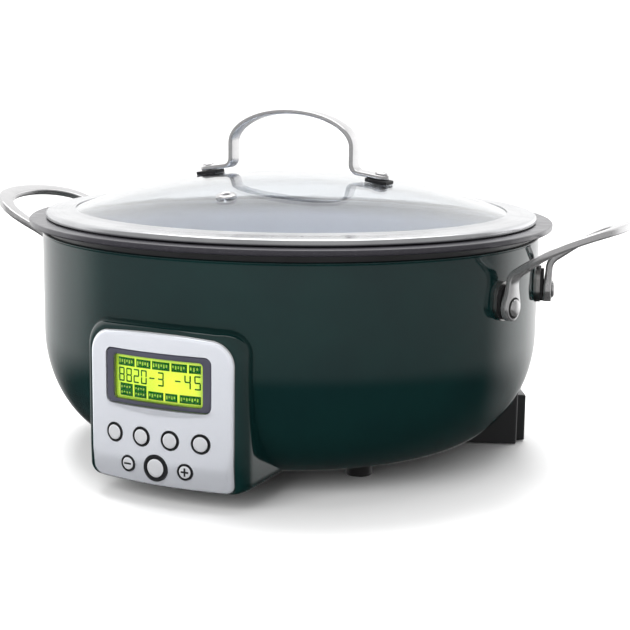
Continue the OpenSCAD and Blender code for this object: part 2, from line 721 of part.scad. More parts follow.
module lid_gaskets() color(c_black) difference() {
    at_lid_fixings() translate([-8.5, -lid_strip_w / 2 - 0.5, -1]) cube([15, lid_strip_w + 1, 3.4]);
    at_lid_fixings() translate([0, 0, -10]) cylinder(r = 2.1, h = 30);
    dome(glass_r, 20, -0.05);
}

module lid_rivets() color(c_steel) at_lid_fixings() rotate_extrude()
    polygon([[0, -glass_t - 3], [2.6, -glass_t - 3], [3.4, -glass_t - 2.2], [3.4, -glass_t - 1.5],
        [2, -glass_t - 1.5], [2, rivet_seat], [4.3, rivet_seat], [4.2, rivet_seat + 0.5],
        [3.2, rivet_seat + 1.2], [1.6, rivet_seat + 1.6], [0, rivet_seat + 1.7]]);

module lid_washers() color(c_steel) at_lid_fixings() translate([0, 0, -glass_t - 1.4]) difference() {
    cylinder(r = 5, h = 1.2);
    translate([0, 0, -1]) cylinder(r = 2.05, h = 4);
}

// Draw ------------------------------------------------------------------

outer_shell();
rim_ring();
heat_liner();
bottom_cover();
cover_screws();
front_feet();
rear_stand();
rear_pads();
rear_band();
power_inlet();
inlet_pins();
heating_plate();
heating_element();
heat_shield();
probe_bracket();
probe_spring();
probe();
thermal_fuse();
power_board();
power_parts();
wiring();
control_housing();
fascia();
display_frame();
display_window();
display_module();
control_board();
switches();
button_collars();
button(menu_buttons[0]);  // button_menu_1
button(menu_buttons[1]);  // button_menu_2
button(menu_buttons[2]);  // button_menu_3
button(menu_buttons[3]);  // button_menu_4
button(minus_button);  // button_minus
button(start_button);  // button_start
button(plus_button);  // button_plus
side_handle_left();
side_handle_right();
handle_plates();
handle_gaskets();
handle_rivets();
handle_nuts();
pot();
lid_glass();
lid_ring();
vent_eyelet();
lid_handle();
lid_gaskets();
lid_rivets();
lid_washers();
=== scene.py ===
import json
import math

import bmesh
import bpy
from mathutils import Matrix, Vector
from mathutils.geometry import delaunay_2d_cdt


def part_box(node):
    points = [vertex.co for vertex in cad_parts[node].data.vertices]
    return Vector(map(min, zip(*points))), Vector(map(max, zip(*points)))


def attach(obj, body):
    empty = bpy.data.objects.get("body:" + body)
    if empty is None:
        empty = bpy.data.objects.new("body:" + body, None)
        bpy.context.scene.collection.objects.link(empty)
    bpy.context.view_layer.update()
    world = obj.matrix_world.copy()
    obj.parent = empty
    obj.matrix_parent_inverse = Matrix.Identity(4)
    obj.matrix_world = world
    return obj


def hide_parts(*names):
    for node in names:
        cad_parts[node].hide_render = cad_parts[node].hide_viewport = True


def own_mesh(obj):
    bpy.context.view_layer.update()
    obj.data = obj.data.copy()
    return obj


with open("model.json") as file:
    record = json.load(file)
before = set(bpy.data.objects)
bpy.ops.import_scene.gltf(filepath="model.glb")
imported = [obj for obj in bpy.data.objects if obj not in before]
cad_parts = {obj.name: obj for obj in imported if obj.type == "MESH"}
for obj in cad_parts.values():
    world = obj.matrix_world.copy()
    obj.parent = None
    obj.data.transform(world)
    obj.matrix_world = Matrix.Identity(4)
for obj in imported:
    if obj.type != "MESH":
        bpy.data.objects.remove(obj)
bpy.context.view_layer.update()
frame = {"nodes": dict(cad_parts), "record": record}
NODES = frame["nodes"]
MM = 0.001


# ---------------------------------------------------------------- node helpers

class Shader:
    """A Principled material, with short calls for the texture nodes that feed it."""

    def __init__(self, name, color, rough, metal=0.0, **sockets):
        self.mat = bpy.data.materials.new(name)
        self.mat.use_nodes = True
        self.tree = self.mat.node_tree
        self.bsdf = self.tree.nodes["Principled BSDF"]
        self.set("Base Color", (*color, 1))
        self.set("Roughness", rough)
        self.set("Metallic", metal)
        for key, value in sockets.items():
            self.set(key.replace("_", " "), value)
        self.coords = None

    def set(self, socket, value):
        self.bsdf.inputs[socket].default_value = value

    def node(self, kind, inputs=None, **settings):
        n = self.tree.nodes.new("ShaderNode" + kind)
        for key, value in settings.items():
            setattr(n, key, value)
        for key, value in (inputs or {}).items():
            self.feed(n.inputs[key], value)
        return n

    def feed(self, socket, value):
        if isinstance(value, bpy.types.NodeSocket):
            self.tree.links.new(value, socket)
        else:
            socket.default_value = value

    def where(self, scale=(1, 1, 1)):
        """Object coordinates in metres, stretched by scale."""
        if self.coords is None:
            self.coords = self.node("TexCoord").outputs["Object"]
        if scale == (1, 1, 1):
            return self.coords
        return self.node("Mapping", {"Vector": self.coords, "Scale": scale}).outputs[0]

    def noise(self, scale, detail=3.0, stretch=(1, 1, 1), at=None):
        return self.node("TexNoise", {"Vector": at or self.where(stretch), "Scale": scale,
                                      "Detail": detail}).outputs["Fac"]

    def math(self, op, a, b=0.0, clamp=False):
        return self.node("Math", {0: a, 1: b}, operation=op, use_clamp=clamp).outputs[0]

    def ramp(self, fac, low, high, out_low=0.0, out_high=1.0):
        """fac between low and high becomes out_low to out_high, smoothly."""
        n = self.node("MapRange", {"Value": fac, "From Min": low, "From Max": high,
                                   "To Min": out_low, "To Max": out_high})
        n.interpolation_type = "SMOOTHSTEP"
        return n.outputs[0]

    def mix(self, fac, a, b):
        n = self.node("Mix", data_type="RGBA")
        self.feed(n.inputs[0], fac)
        self.feed(n.inputs[6], a if isinstance(a, bpy.types.NodeSocket) else (*a, 1))
        self.feed(n.inputs[7], b if isinstance(b, bpy.types.NodeSocket) else (*b, 1))
        return n.outputs[2]

    def color(self, value):
        self.feed(self.bsdf.inputs["Base Color"], value)

    def rough(self, value):
        self.feed(self.bsdf.inputs["Roughness"], value)

    def bump(self, height, depth, strength=1.0):
        """Bumps of depth metres between height 0 and 1, on top of any earlier bump."""
        n = self.node("Bump", {"Height": height, "Distance": depth, "Strength": strength})
        old = self.bsdf.inputs["Normal"]
        if old.links:
            self.feed(n.inputs["Normal"], old.links[0].from_socket)
        self.feed(old, n.outputs[0])

    def xyz(self):
        return self.node("SeparateXYZ", {"Vector": self.where()}).outputs

    def radius(self):
        x, y = self.xyz()[0], self.xyz()[1]
        return self.math("SQRT", self.math("ADD", self.math("MULTIPLY", x, x), self.math("MULTIPLY", y, y)))

    def facing(self, axis, low, high):
        """0 to 1 as the surface turns towards an axis, such as (0, -1, 0)."""
        normal = self.node("TexCoord").outputs["Normal"]
        dot = self.node("VectorMath", {0: normal, 1: axis}, operation="DOT_PRODUCT").outputs["Value"]
        return self.ramp(dot, low, high)


def lin(r, g, b):
    """A display colour, 0 to 255, as linear values."""
    return tuple(c / 12.92 if c <= 0.04045 else ((c + 0.055) / 1.055) ** 2.4
                 for c in (r / 255, g / 255, b / 255))


# ---------------------------------------------------------------- materials

def enamel():
    s = Shader("green_enamel", lin(12, 30, 28), 0.35, Coat_Weight=1.0, Coat_Roughness=0.05, Coat_IOR=1.5,
               Specular_IOR_Level=0.0)
    cloud = s.ramp(s.noise(18, 2), 0.35, 0.65)
    s.color(s.mix(cloud, lin(8, 28, 28), lin(9, 32, 31)))
    s.rough(s.ramp(s.noise(60, 3), 0.3, 0.7, 0.3, 0.42))
    s.bump(s.noise(340, 2), 0.00003)
    coat = s.node("Bump", {"Height": s.noise(150, 2), "Distance": 0.000025})
    s.feed(s.bsdf.inputs["Coat Normal"], coat.outputs[0])
    return s.mat


def steel(name, color, rough, grain=(1, 1, 1), grain_scale=900, depth=0.00002, rings=False, smudge=0.08,
          metal=1.0):
    """Brushed or polished metal. With rings, its lines run round the Z axis."""
    s = Shader(name, color, rough, metal)
    if rings:
        r, z = s.radius(), s.xyz()[2]
        at = s.node("CombineXYZ", {"X": r, "Y": z, "Z": 0.0}).outputs[0]
        lines = s.noise(2600, 4, at=at)
    else:
        lines = s.noise(grain_scale, 4, grain)
    smear = s.noise(35, 4)
    along = s.ramp(lines, 0.3, 0.7, rough * 0.75, rough * 1.25)
    s.rough(s.math("ADD", along, s.math("MULTIPLY", smear, smudge)))
    s.color(s.mix(s.ramp(smear, 0.35, 0.7), color, tuple(c * 0.88 for c in color)))
    s.bump(lines, depth)
    scratches = s.ramp(s.noise(1400, 2, (1, 14, 3)), 0.66, 0.72)
    s.bump(scratches, depth * 0.6)
    return s.mat


def plastic(name, color, rough, depth=0.00005, scale=1600, worn=None, **sockets):
    s = Shader(name, color, rough, **sockets)
    grain = s.noise(scale, 3)
    s.bump(grain, depth)
    s.rough(s.ramp(s.noise(45, 3), 0.3, 0.7, rough - 0.06, rough + 0.06))
    s.color(s.mix(s.ramp(s.noise(25, 4), 0.3, 0.75), color, worn or tuple(c * 1.25 + 0.002 for c in color)))
    return s.mat


def silver(name, color, rough, painted_shade_sides=None):
    """Silver lacquer on moulded plastic. Given a sides colour, only what faces forward is silver; the sides
    take that dark colour, not metallic, as painted shade.
    """
    metal = 0.7
    s = Shader(name, color, rough, metal, Coat_Weight=0.3, Coat_Roughness=0.08)
    fleck = s.noise(1800, 2)
    dull, bright = tuple(c * 0.985 for c in color), tuple(min(1, c * 1.015) for c in color)
    tone = s.mix(s.ramp(fleck, 0.3, 0.7), dull, bright)
    if painted_shade_sides:
        # painted shade: surfaces turning away from the front get the dark sides colour and lose their metal
        front = s.facing((0, -1, 0), 0.55, 0.8)
        tone = s.mix(front, painted_shade_sides, tone)
        s.feed(s.bsdf.inputs["Metallic"], s.math("MULTIPLY", front, metal))
    s.color(tone)
    s.rough(s.ramp(s.noise(60, 2), 0.3, 0.7, rough - 0.02, rough + 0.02))
    s.bump(s.noise(900, 2), 0.000001)
    return s.mat


def pot_coat():
    """Dark coat, pale on the inside only: below the rim, within the wall and facing inwards or up."""
    s = Shader("dark_cast_pot", lin(62, 60, 68), 0.38, 0.25, Coat_Weight=0.5, Coat_Roughness=0.16)
    speck = s.ramp(s.noise(2400, 2), 0.6, 0.72)
    (x, y, z), r = s.xyz(), s.radius()
    normal = s.node("TexCoord").outputs["Normal"]
    outward = s.node("CombineXYZ", {"X": s.math("DIVIDE", x, r), "Y": s.math("DIVIDE", y, r),
                                    "Z": -1.0}).outputs[0]
    away = s.node("VectorMath", {0: normal, 1: outward}, operation="DOT_PRODUCT").outputs["Value"]
    inside = s.math("MULTIPLY", s.ramp(z, 0.150, 0.1475), s.ramp(r, 0.1475, 0.1462))
    inside = s.math("MULTIPLY", inside, s.ramp(away, -0.1, -0.5))
    base = s.mix(inside, lin(38, 36, 43), lin(208, 212, 221))
    s.color(s.mix(s.math("MULTIPLY", speck, 0.35), base, lin(120, 118, 126)))
    s.rough(s.ramp(s.noise(70, 3), 0.3, 0.7, 0.33, 0.45))
    s.bump(s.noise(1500, 3), 0.00006)
    return s.mat


def glass(name, tint, ior=1.46, waves=0.00002):
    s = Shader(name, tint, 0.0, 0.0, Transmission_Weight=1.0, IOR=ior)
    s.rough(s.ramp(s.noise(40, 4), 0.45, 0.8, 0.0, 0.03))
    s.bump(s.noise(45, 1), waves)
    return s.mat


def lcd():
    s = Shader("lcd_lime", lin(190, 215, 20), 0.4)
    x, _, z = s.xyz()
    u = s.math("ABSOLUTE", s.math("DIVIDE", x, LCD_W / 2 * MM))
    v = s.math("ABSOLUTE", s.math("DIVIDE", s.math("SUBTRACT", z, LCD_ZC * MM), LCD_H / 2 * MM))
    edge = s.ramp(s.math("MAXIMUM", u, v), 0.80, 1.02)
    dots = s.node("TexChecker", {"Vector": s.where(), "Scale": 2300.0, "Color1": (1, 1, 1, 1),
                                 "Color2": (0.93, 0.93, 0.93, 1)}).outputs["Color"]
    lime = s.mix(s.ramp(s.noise(30, 1), 0.35, 0.65), lin(168, 198, 20), lin(192, 208, 22))
    lime = s.mix(edge, lime, lin(118, 150, 22))
    glow = s.node("Mix", {6: lime, 7: dots, 0: 0.35}, data_type="RGBA", blend_type="MULTIPLY").outputs[2]
    s.color(glow)
    s.feed(s.bsdf.inputs["Emission Color"], glow)
    s.set("Emission Strength", 0.52)
    s.bump(s.noise(900, 1), 0.000005)
    return s.mat


def make_materials():
    black = lin(16, 17, 20)
    return {
        "green_enamel": enamel(),
        "black_plastic": plastic("black_plastic", black, 0.34, Coat_Weight=0.2, Coat_Roughness=0.2),
        "black_rubber": plastic("black_rubber", lin(14, 14, 15), 0.62, 0.00012, 900, lin(34, 34, 36)),
        "brushed_steel": steel("brushed_steel", (0.62, 0.61, 0.60), 0.3, (1, 1, 12), 700),
        "polished_steel": steel("polished_steel", (0.57, 0.565, 0.57), 0.15, (1, 10, 3), 500, 0.000008,
                                smudge=0.05, metal=0.88),
        "ring_steel": steel("ring_steel", (0.60, 0.605, 0.62), 0.15, rings=True, depth=0.00001),
        "element_steel": steel("element_steel", (0.23, 0.21, 0.2), 0.42, depth=0.00004),
        "aluminium": steel("aluminium", (0.75, 0.76, 0.77), 0.3, rings=True, depth=0.00003),
        "pin_brass": steel("pin_brass", (0.72, 0.66, 0.5), 0.28, (1, 1, 8), 800),
        "fuse_ceramic": plastic("fuse_ceramic", lin(205, 198, 172), 0.55),
        "board_green": plastic("board_green", lin(22, 92, 52), 0.3, 0.00008, 500),
        "parts_blue": plastic("parts_blue", lin(48, 66, 150), 0.3),
        "lead_red": plastic("lead_red", lin(170, 28, 22), 0.42),
        "silver_plastic": silver("silver_plastic", (0.90, 0.925, 1.0), 0.2),
        # the button caps' near-black sides colour is painted shade
        "button_silver": silver("button_silver", (0.86, 0.87, 0.90), 0.3, lin(18, 18, 22)),
        "frame_grey": plastic("frame_grey", lin(54, 54, 66), 0.38, Coat_Weight=0.2, Coat_Roughness=0.2),
        "window_clear": glass("window_clear", (0.97, 0.98, 0.98), 1.22, 0.000004),
        "lcd_lime": lcd(),
        "dark_cast_pot": pot_coat(),
        "lid_glass": glass("lid_glass", (0.88, 0.905, 0.925)),
        "lcd_dark": plastic("lcd_dark", lin(2, 66, 8), 0.6, 0.000005, worn=lin(4, 76, 12),
                            Specular_IOR_Level=0.0, Emission_Color=(*lin(6, 96, 10), 1),
                            Emission_Strength=0.35),
        "lcd_pale": plastic("lcd_pale", lin(140, 190, 50), 0.6, 0.000005, worn=lin(160, 200, 60),
                            Specular_IOR_Level=0.0),
        "bead_chrome": steel("bead_chrome", (0.86, 0.86, 0.87), 0.12, depth=0.000004),
    }


# The screen's width and height, and the height of its centre, in millimetres
LCD_W, LCD_H, LCD_ZC = 57.6, 25.2, 74.0
SLOT_OF = {s["node"]: s["material_slot"] for s in frame["record"]["subparts"]}
MATS = make_materials()


# ---------------------------------------------------------------- mesh helpers

def piece(name, verts, faces, body, material, stands_for=()):
    """A smooth-shaded mesh from points in millimetres, riding on a body."""
    mesh = bpy.data.meshes.new(name)
    mesh.from_pydata([[c * MM for c in v] for v in verts], [], faces)
    bm = bmesh.new()
    bm.from_mesh(mesh)
    bmesh.ops.remove_doubles(bm, verts=bm.verts, dist=1e-6)
    bmesh.ops.dissolve_degenerate(bm, edges=bm.edges, dist=1e-7)
    bmesh.ops.recalc_face_normals(bm, faces=bm.faces)
    for f in bm.faces:
        f.smooth = True
    bm.to_mesh(mesh)
    bm.free()
    obj = bpy.data.objects.new(name, mesh)
    bpy.context.scene.collection.objects.link(obj)
    mesh.materials.append(MATS[material])
    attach(obj, body)
    if stands_for:
        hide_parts(*stands_for)
    return obj


def soften(points, cuts, n=5):
    """A closed outline with its corners rounded, each starting its own cut in millimetres before it."""
    out = []
    count = len(points)
    for i, (p, cut) in enumerate(zip(points, cuts)):
        p = Vector(p)
        a, b = Vector(points[i - 1]), Vector(points[(i + 1) % count])
        if cut <= 0:
            out.append(tuple(p))
            continue
        p0 = p + (a - p).normalized() * min(cut, (a - p).length * 0.49)
        p1 = p + (b - p).normalized() * min(cut, (b - p).length * 0.49)
        for k in range(n + 1):
            t = k / n
            out.append(tuple(p0 * (1 - t) ** 2 + p * 2 * t * (1 - t) + p1 * t * t))
    return out


def lathe(name, profile, body, material, stands_for=(), steps=192):
    """A closed outline of (radius, height) turned round the Z axis."""
    n = len(profile)
    verts = [(r * math.cos(2 * math.pi * k / steps), r * math.sin(2 * math.pi * k / steps), z)
             for k in range(steps) for r, z in profile]
    faces = [(k * n + i, k * n + (i + 1) % n, (k + 1) % steps * n + (i + 1) % n, (k + 1) % steps * n + i)
             for k in range(steps) for i in range(n)]
    return piece(name, verts, faces, body, material, stands_for)


def loft(rings, closed=False):
    """Vertices and faces joining rings of equal length, capped at both ends unless closed."""
    n, count = len(rings[0]), len(rings)
    verts = [p for ring in rings for p in ring]
    spans = count if closed else count - 1
    faces = [(k * n + i, k * n + (i + 1) % n, (k + 1) % count * n + (i + 1) % n, (k + 1) % count * n + i)
             for k in range(spans) for i in range(n)]
    if not closed:
        faces += [tuple(reversed(range(n))), tuple(range((count - 1) * n, count * n))]
    return verts, faces


def band(rings):
    """Rings joined into an open band, with no caps."""
    verts, faces = loft(rings)
    return verts, faces[:-2]


def join(parts):
    """Several (verts, faces) lists as one."""
    verts, faces = [], []
    for v, f in parts:
        base = len(verts)
        verts += v
        faces += [tuple(base + i for i in face) for face in f]
    return verts, faces


def slab(half_w, n_low, n_high, radius=1.2, k=4):
    """Section of a flat bar with rounded edges, as (across, through) pairs."""
    r = min(radius, half_w * 0.98, (n_high - n_low) * 0.49)
    out = []
    for cx, cy, a0 in ((half_w - r, n_high - r, 0), (-half_w + r, n_high - r, 90),
                       (-half_w + r, n_low + r, 180), (half_w - r, n_low + r, 270)):
        for i in range(k + 1):
            a = math.radians(a0 + 90 * i / k)
            out.append((cx + r * math.cos(a), cy + r * math.sin(a)))
    return out


def smooth01(t):
    t = max(0.0, min(1.0, t))
    return t * t * (3 - 2 * t)


def smooth_group():
    """A node group for a modifier that shades every face smooth."""
    group = bpy.data.node_groups.new("shade_smooth", "GeometryNodeTree")
    for way in ("INPUT", "OUTPUT"):
        group.interface.new_socket("Geometry", in_out=way, socket_type="NodeSocketGeometry")
    start, end = group.nodes.new("NodeGroupInput"), group.nodes.new("NodeGroupOutput")
    smooth = group.nodes.new("GeometryNodeSetShadeSmooth")
    group.links.new(start.outputs[0], smooth.inputs["Geometry"])
    group.links.new(smooth.outputs[0], end.inputs[0])
    return group


def bevel(node, width, group, segments=2, angle=35):
    """Rounds the edges of a CAD node and shades it smooth with modifiers, which leave its mesh as it is."""
    obj = NODES[node]
    obj.modifiers.new("smooth", "NODES").node_group = group
    weld = obj.modifiers.new("weld", "WELD")
    weld.merge_threshold = 1e-6
    mod = obj.modifiers.new("bevel", "BEVEL")
    mod.width = width * MM
    mod.segments = segments
    mod.limit_method = "ANGLE"
    mod.angle_limit = math.radians(angle)
    mod.use_clamp_overlap = True
    normals = obj.modifiers.new("normals", "WEIGHTED_NORMAL")
    normals.keep_sharp = False
    normals.weight = 60


# ---------------------------------------------------------------- CAD numbers, in millimetres

BODY_R, BODY_TOP, BOWL_TOP, BASE_R, BASE_Z, SHELL_T = 161.8, 143.5, 80.0, 110.0, 11.5, 1.5
FLANGE_R, FLANGE_TOP, FLANGE_T, MOUTH_R, POT_FLOOR, POT_T = 169.97, 151.6, 3.6, 146.5, 48.0, 3.0
DOME_TOP, DOME_R, GLASS_R, GLASS_T, RING_R = 180.4, 430.0, 143.6, 4.0, 159.5
FACE_Y, FACE_CURVE_R = 170.8, 198.0


def face_y(x):
    return -FACE_Y + FACE_CURVE_R - math.sqrt(FACE_CURVE_R ** 2 - x * x)


def dome_z(r):
    return DOME_TOP - DOME_R + math.sqrt(DOME_R ** 2 - r * r)


# ---------------------------------------------------------------- body, pot and lid

def bowl(t, steps=40):
    """The quarter ellipse under the straight wall, drawn in by t, from the bottom up."""
    return [(BASE_R + (BODY_R - BASE_R - t) * math.cos(a), BOWL_TOP - (BOWL_TOP - BASE_Z - t) * math.sin(a))
            for a in (math.pi / 2 * (1 - i / steps) for i in range(steps + 1))]


def make_body():
    """The enamelled shell, with a small rolled bead round its top edge."""
    hole_r, bead_r = 101.0, 0.75
    bead = arc((161.2, BODY_TOP - bead_r), bead_r, -50, 140, 10)
    profile = ([(hole_r, BASE_Z)] + bowl(0)
               + [(BODY_R, 100), (BODY_R, 125), (BODY_R, 140), (BODY_R - 0.15, 141.6)]
               + bead + [(BODY_R - SHELL_T, 141.5), (BODY_R - SHELL_T, 110)]
               + list(reversed(bowl(SHELL_T))) + [(hole_r, BASE_Z + SHELL_T)])
    lathe("body_skin", profile, "base", "green_enamel", ["outer_shell"], 256)


def arc(c, r, a0, a1, n):
    """Points round centre c from angle a0 to a1, in degrees."""
    return [(c[0] + r * math.cos(math.radians(a0 + (a1 - a0) * i / n)),
             c[1] + r * math.sin(math.radians(a0 + (a1 - a0) * i / n))) for i in range(n + 1)]


def make_pot():
    """The pot with its flange. Its wall leans in a little towards the floor."""
    corner = 22.0
    c = (MOUTH_R - 5.5 - corner, POT_FLOOR + corner)
    z = FLANGE_TOP - FLANGE_T
    rim = soften([(MOUTH_R + POT_T, z), (FLANGE_R, z), (FLANGE_R, FLANGE_TOP), (MOUTH_R, FLANGE_TOP)],
                 [1.2, 1.1, 1.1, 1.4], 6)
    floor = [(r, POT_FLOOR) for r in (0, 40, 80)]
    profile = ([(0, POT_FLOOR - POT_T), (60, POT_FLOOR - POT_T)] + arc(c, corner + POT_T, 270, 360, 12) + rim
               + [(c[0] + corner + 1.2, 90)] + list(reversed(arc(c, corner, 270, 360, 12)))
               + list(reversed(floor)))
    lathe("pot_skin", profile, "pot", "dark_cast_pot", ["pot"], 256)


def make_lid():
    """The glass dome, and the pressed steel ring that holds its edge."""
    top = [(GLASS_R * i / 40, dome_z(GLASS_R * i / 40)) for i in range(41)]
    under = [(r, z - GLASS_T) for r, z in reversed(top)]
    lathe("lid_dome", top + under, "lid", "lid_glass", ["lid_glass"], 192)
    lip, skirt = GLASS_R - 3, MOUTH_R - 0.5
    z0, z1 = 152.2, 156.2
    outline = [(lip, dome_z(lip) + 0.05), (lip, dome_z(lip) + 0.75), (GLASS_R + 1, z1 + 0.25), (RING_R, z1),
               (RING_R, z0), (RING_R - 1.4, z0), (RING_R - 3, z1 - 1.4), (GLASS_R + 6, z1 - 1.4),
               (GLASS_R + 5.6, FLANGE_TOP + 0.1), (skirt, FLANGE_TOP + 0.1), (skirt, FLANGE_TOP - 3.6),
               (skirt - 1.2, FLANGE_TOP - 3.6), (skirt - 1.2, FLANGE_TOP - 0.8), (lip, FLANGE_TOP - 0.8),
               (lip, FLANGE_TOP), (GLASS_R + 0.15, FLANGE_TOP), (GLASS_R + 0.15, dome_z(GLASS_R) + 0.05)]
    cuts = [0.1, 0.3, 1.5, 3.4, 0.7, 0.6, 0.5, 0.5, 0, 0, 0, 0, 0, 0.2, 0.2, 0, 0]
    lathe("lid_band", soften(outline, cuts, 5), "lid", "ring_steel", ["lid_ring"], 256)


def strip_rings(stations):
    """Rings of a bar from stations of (centre, across, through, section)."""
    return [[tuple(Vector(c) + w * Vector(across) + n * Vector(through)) for w, n in section]
            for c, across, through, section in stations]


def make_lid_handle():
    """Flat strip: half-ellipse arch, upright legs, bends and round-ended feet on the dome."""
    leg, arch_z, top, t, half_w = 43.9, 198.0, 220.9, 3.0, 6.0
    foot_r = 62.6
    tilt = math.asin(foot_r / DOME_R)
    bend_r, bend_z, end_x = 5.5, 187.4, 68.3
    rise = top - t / 2 - arch_z
    path = []
    for i in range(25):
        u = math.radians(90 * i / 24)
        path.append((leg * math.sin(u), arch_z + rise * math.cos(u),
                     -math.atan2(rise * math.sin(u), leg * math.cos(u)), half_w))
    for z in (196, 194, 191, 189):
        path.append((leg, z, -math.pi / 2, half_w))
    for i in range(9):
        a = math.pi + (math.pi / 2 - tilt) * i / 8
        path.append((leg + bend_r * (1 + math.cos(a)), bend_z + bend_r * math.sin(a),
                     a - 1.5 * math.pi, half_w))
    foot_x, foot_z = path[-1][0], path[-1][1]
    centre = end_x - half_w
    for i in range(1, 16):
        x = foot_x + (end_x - foot_x) * (1 - (1 - i / 15) ** 1.6)
        over = max(0.0, x - centre)
        w = max(0.9, math.sqrt(max(0.0, half_w ** 2 - over ** 2)))
        path.append((x, foot_z - (x - foot_x) * math.tan(tilt), -tilt, w))
    half = [((x, 0, z), (0, 1, 0), (-math.sin(a), 0, math.cos(a)), slab(w, -t / 2, t / 2, 1.1))
            for x, z, a, w in path]
    mirrored = [((-c[0], 0, c[2]), (0, 1, 0), (-n[0], 0, n[2]), s) for c, _, n, s in reversed(half[1:])]
    verts, faces = loft(strip_rings(mirrored + half))
    piece("lid_grip", verts, faces, "lid", "polished_steel", ["lid_handle"])


# ---------------------------------------------------------------- side handles

# The legs' place and the height of their pads, then the loop: its tip, slope, sag and widest point
LEG_X, LEG_Y, PAD_Z = 164.65, 38.7, 110.4
PAD_A = math.atan2(LEG_Y, LEG_X)
TIP_X, TIP_Z, TIP_SLOPE, SAG, LOOP_X, LOOP_Y = 223.2, 157.7, 0.207, 0.0049, 188.0, 45.5
BEND_X, SIDE_W, TIP_W = 168.5, 9.0, 12.0
BAR_HALF_T, BAR_EDGE = 2.25, 1.3


def bar_z(x):
    """Height of the loop's middle line at x."""
    return TIP_Z - TIP_SLOPE * (TIP_X - x) - SAG * (TIP_X - x) ** 2


def bar_slope(x):
    return TIP_SLOPE + 2 * SAG * (TIP_X - x)


def handle_stations():
    """Half of a side handle: pad, upright leg, bend, side and half the tip, on the +X +Y side."""
    out, up = [], Vector((0, 0, 1))
    radial = Vector((math.cos(PAD_A), math.sin(PAD_A), 0))
    across0 = Vector((-math.sin(PAD_A), math.cos(PAD_A), 0))
    tau = math.atan(bar_slope(BEND_X))
    bend_r = (BEND_X - LEG_X) / (1 - math.sin(tau))
    bend_z = bar_z(BEND_X) - bend_r * math.cos(tau)
    pad_half, leg_half = 8.0, 4.8
    low, high = PAD_Z - pad_half, bend_z
    for i in range(49):
        z = low + 0.04 + (high - low - 0.04) * (1 - math.cos(math.pi * i / 48)) / 2
        d = z - PAD_Z
        disc = math.sqrt(max(0.0, pad_half ** 2 - d * d))
        half = disc if d <= 0 else pad_half - (pad_half - leg_half) * smooth01(d / 14)
        k = 1 - smooth01((d - 2) / 12)
        section = slab(max(0.8, half), -BAR_HALF_T - 0.9 * k, BAR_HALF_T - 0.3 * k, BAR_EDGE)
        out.append(((LEG_X, LEG_Y, z), across0, radial, section))
    slope0, span = math.tan(PAD_A), LOOP_X - LEG_X
    bend_steps = 8

    def line_y(x):
        t = (x - LEG_X) / span
        return (LEG_Y * (2 * t ** 3 - 3 * t * t + 1) + span * slope0 * (t ** 3 - 2 * t * t + t)
                + LOOP_Y * (3 * t * t - 2 * t ** 3))

    def width(x):
        return (SIDE_W + (TIP_W - SIDE_W) * (max(0.0, x - LEG_X) / (TIP_X - LEG_X)) ** 2) / 2

    centres = []
    for i in range(1, bend_steps + 1):
        a = math.pi / 2 - (math.pi / 2 - tau) * i / bend_steps
        x = LEG_X + bend_r * (1 - math.sin(a))
        centres.append((x, line_y(x), bar_z(BEND_X) - bend_r * (math.cos(tau) - math.cos(a))))
    for i in range(1, 11):
        x = BEND_X + (LOOP_X - BEND_X) * i / 10
        centres.append((x, line_y(x), bar_z(x)))
    reach = TIP_X - TIP_W / 2 - LOOP_X
    for i in range(1, 25):
        a = math.pi / 2 * (1 - i / 24)
        x = LOOP_X + reach * math.cos(a)
        centres.append((x, LOOP_Y * math.sin(a), bar_z(x)))
    for i, c in enumerate(centres):
        before = Vector(centres[i - 1]) if i else Vector((LEG_X, LEG_Y, bend_z))
        after = Vector(centres[i + 1]) if i + 1 < len(centres) else Vector((c[0], -centres[i - 1][1], c[2]))
        along = (after - before).normalized()
        flat = Vector((along.x, along.y, 0))
        flat = flat.normalized() if flat.length > 1e-4 else radial
        out_dir = Vector((-flat.y, flat.x, 0))
        lean = smooth01((c[0] - BEND_X) / (LOOP_X - BEND_X))
        across = (out_dir + up * lean * out_dir.x * bar_slope(c[0])).normalized()
        through = across.cross(along)
        w = leg_half + (width(c[0]) - leg_half) * min(1.0, i / (bend_steps - 1))
        out.append((c, across, through, slab(w, -BAR_HALF_T, BAR_HALF_T, BAR_EDGE)))
    return out


def make_side_handles():
    half = handle_stations()
    flipped = [((c[0], -c[1], c[2]), (w[0], -w[1], w[2]), (n[0], -n[1], n[2]), s)
               for c, w, n, s in reversed(half[:-1])]
    rings = strip_rings(half + flipped)
    for side, name in ((1, "right"), (-1, "left")):
        mirrored = [[(side * x, y, z) for x, y, z in ring] for ring in rings]
        verts, faces = loft(mirrored)
        piece(f"side_grip_{name}", verts, faces, "base", "polished_steel",
              [f"side_handle_{name}"])


def at_fixings(build):
    """Joins what build returns, in (outward, sideways, up), at the four fixings."""
    parts = []
    for base in (0.0, math.pi):
        for s in (-1, 1):
            a = base + s * PAD_A
            verts, faces = build()
            ca, sa = math.cos(a), math.sin(a)
            parts.append(([(r * ca - w * sa, r * sa + w * ca, z) for r, w, z in verts], faces))
    return join(parts)


def button_head(r0, profile, steps=40):
    """A turned cap on an outward axis: a profile of (outward from r0, radius), flat at both ends."""
    rings = [[(r0 + d, r * math.cos(2 * math.pi * k / steps), PAD_Z + r * math.sin(2 * math.pi * k / steps))
              for k in range(steps)] for d, r in profile]
    return loft(rings)


